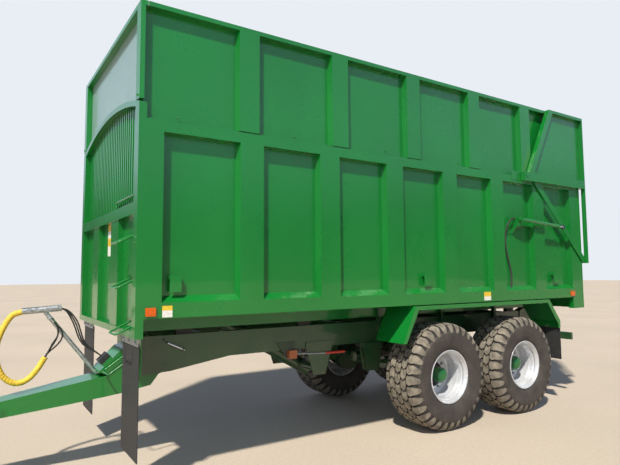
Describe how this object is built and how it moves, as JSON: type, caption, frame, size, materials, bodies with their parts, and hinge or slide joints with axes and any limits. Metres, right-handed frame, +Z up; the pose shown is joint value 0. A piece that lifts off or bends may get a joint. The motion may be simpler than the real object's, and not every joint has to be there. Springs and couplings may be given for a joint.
{
  "type": "silage trailer",
  "caption": "Tandem-axle tipping silage trailer: ribbed body with arched headboard, high extension sides, swing-up tailgate, drawbar with eye, parking jack and hose stand.",
  "frame": {"origin": "on the ground, at the middle of the trailer's length and width", "axes": "+X forward to the drawbar eye, +Y to the trailer's left, +Z up"},
  "size_m": [8.36, 2.5838, 4.0961],
  "materials": {
    "green_paint": "gloss",
    "chassis_paint": "satin",
    "rim_silver": "satin",
    "tyre": "matte",
    "rubber": "matte",
    "galvanised": "satin",
    "chrome": "polished",
    "orange_lens": "gloss",
    "red_lens": "gloss",
    "yellow_wrap": "satin"
  },
  "bodies": {
    "chassis": {"chassis_rails": "chassis_paint", "crossmembers": "chassis_paint", "rest_pads": "rubber", "hinge_plates": "chassis_paint", "drawbar": "green_paint", "hitch_eye": "chassis_paint", "jack_housing": "chassis_paint", "ram_cradle": "chassis_paint", "axles": "chassis_paint", "brake_chambers": "chassis_paint", "leaf_springs": "chassis_paint", "spring_hangers": "chassis_paint", "mudguards": "green_paint", "mudguard_brackets": "chassis_paint", "rear_flaps": "rubber", "lamp_bar": "chassis_paint", "rear_lamps": "red_lens", "handbrake": "chassis_paint", "hose_stand": "galvanised", "hose_block": "rubber", "hose_couplings": "galvanised", "service_hoses": "rubber", "hose_sleeve": "yellow_wrap"},
    "body": {"floor": "green_paint", "floor_bearers": "green_paint", "side_walls": "green_paint", "extension_sides": "green_paint", "headboard": "green_paint", "extension_front": "green_paint", "ladder_rungs": "green_paint", "body_runners": "green_paint", "ram_head_bracket": "green_paint", "gate_pivots": "green_paint", "gate_ram_feet": "green_paint", "gate_hoses": "rubber", "front_flaps": "rubber", "flap_hangers": "galvanised", "marker_lamps": "orange_lens", "rope_hooks": "green_paint"},
    "tailgate": {"gate_frames": "green_paint", "gate_wings": "green_paint", "gate_door": "green_paint"},
    "hatch": {"gate_hatch": "green_paint"},
    "ram_barrel_left": {"gate_barrel_left": "green_paint"},
    "ram_rod_left": {"gate_rod_left": "chrome"},
    "ram_barrel_right": {"gate_barrel_right": "green_paint"},
    "ram_rod_right": {"gate_rod_right": "chrome"},
    "tip_barrel": {"tip_ram_0": "chassis_paint"},
    "tip_stage_1": {"tip_ram_1": "chrome"},
    "tip_stage_2": {"tip_ram_2": "chrome"},
    "tip_stage_3": {"tip_ram_3": "chrome"},
    "jack_leg": {"jack_leg": "galvanised"},
    "wheel_front_left": {"tyre_front_left": "tyre", "wheel_front_left": "rim_silver"},
    "wheel_front_right": {"tyre_front_right": "tyre", "wheel_front_right": "rim_silver"},
    "wheel_rear_left": {"tyre_rear_left": "tyre", "wheel_rear_left": "rim_silver"},
    "wheel_rear_right": {"tyre_rear_right": "tyre", "wheel_rear_right": "rim_silver"}
  },
  "joints": [
    {"name": "body_tip", "type": "hinge", "parent": "chassis", "child": "body", "pos_m": [-3.79, 0, 1.24], "axis": [0, -1, 0], "range_deg": [0, 45]},
    {"name": "tailgate_swing", "type": "hinge", "parent": "body", "child": "tailgate", "pos_m": [-2.66, 0, 3.11], "axis": [0, 1, 0], "range_deg": [0, 75]},
    {"name": "hatch_lift", "type": "slide", "parent": "tailgate", "child": "hatch", "axis": [0, 0, 1], "range_m": [0, 0.4]},
    {"name": "gate_ram_tilt_left", "type": "hinge", "parent": "body", "child": "ram_barrel_left", "pos_m": [-2.515, 1.264, 2.5], "axis": [0, 1, 0], "range_deg": [0, 54.2]},
    {"name": "gate_ram_slide_left", "type": "slide", "parent": "ram_barrel_left", "child": "ram_rod_left", "axis": [-0.9978, 0, -0.0665], "range_m": [0, 0.6234]},
    {"name": "gate_ram_tilt_right", "type": "hinge", "parent": "body", "child": "ram_barrel_right", "pos_m": [-2.515, -1.264, 2.5], "axis": [0, 1, 0], "range_deg": [0, 54.2]},
    {"name": "gate_ram_slide_right", "type": "slide", "parent": "ram_barrel_right", "child": "ram_rod_right", "axis": [-0.9978, 0, -0.0665], "range_m": [0, 0.6234]},
    {"name": "tip_ram_tilt", "type": "hinge", "parent": "chassis", "child": "tip_barrel", "pos_m": [0.19, 0, 0.72], "axis": [0, -1, 0], "range_deg": [0, 66.86]},
    {"name": "tip_stage_1_slide", "type": "slide", "parent": "tip_barrel", "child": "tip_stage_1", "axis": [0.8687, 0, 0.4953], "range_m": [0, 0.9837]},
    {"name": "tip_stage_2_slide", "type": "slide", "parent": "tip_stage_1", "child": "tip_stage_2", "axis": [0.8687, 0, 0.4953], "range_m": [0, 0.9837]},
    {"name": "tip_stage_3_slide", "type": "slide", "parent": "tip_stage_2", "child": "tip_stage_3", "axis": [0.8687, 0, 0.4953], "range_m": [0, 0.9837]},
    {"name": "jack_slide", "type": "slide", "parent": "chassis", "child": "jack_leg", "axis": [0, 0, 1], "range_m": [0, 0.3]},
    {"name": "wheel_front_left_turn", "type": "hinge", "parent": "chassis", "child": "wheel_front_left", "pos_m": [-1.09, 1.029, 0.61], "axis": [0, 1, 0], "continuous": true},
    {"name": "wheel_front_right_turn", "type": "hinge", "parent": "chassis", "child": "wheel_front_right", "pos_m": [-1.09, -1.029, 0.61], "axis": [0, 1, 0], "continuous": true},
    {"name": "wheel_rear_left_turn", "type": "hinge", "parent": "chassis", "child": "wheel_rear_left", "pos_m": [-2.49, 1.029, 0.61], "axis": [0, 1, 0], "continuous": true},
    {"name": "wheel_rear_right_turn", "type": "hinge", "parent": "chassis", "child": "wheel_rear_right", "pos_m": [-2.49, -1.029, 0.61], "axis": [0, 1, 0], "continuous": true}
  ],
  "couplings": [
    {"joint": "gate_ram_tilt_left", "follows": "tailgate_swing", "ratio": 0.72198},
    {"joint": "gate_ram_slide_left", "follows": "tailgate_swing", "m_per_rad": 0.47585},
    {"joint": "gate_ram_tilt_right", "follows": "tailgate_swing", "ratio": 0.72198},
    {"joint": "gate_ram_slide_right", "follows": "tailgate_swing", "m_per_rad": 0.47585},
    {"joint": "tip_ram_tilt", "follows": "body_tip", "ratio": 1.4845},
    {"joint": "tip_stage_1_slide", "follows": "body_tip", "m_per_rad": 1.2519},
    {"joint": "tip_stage_2_slide", "follows": "body_tip", "m_per_rad": 1.2519},
    {"joint": "tip_stage_3_slide", "follows": "body_tip", "m_per_rad": 1.2519}
  ]
}
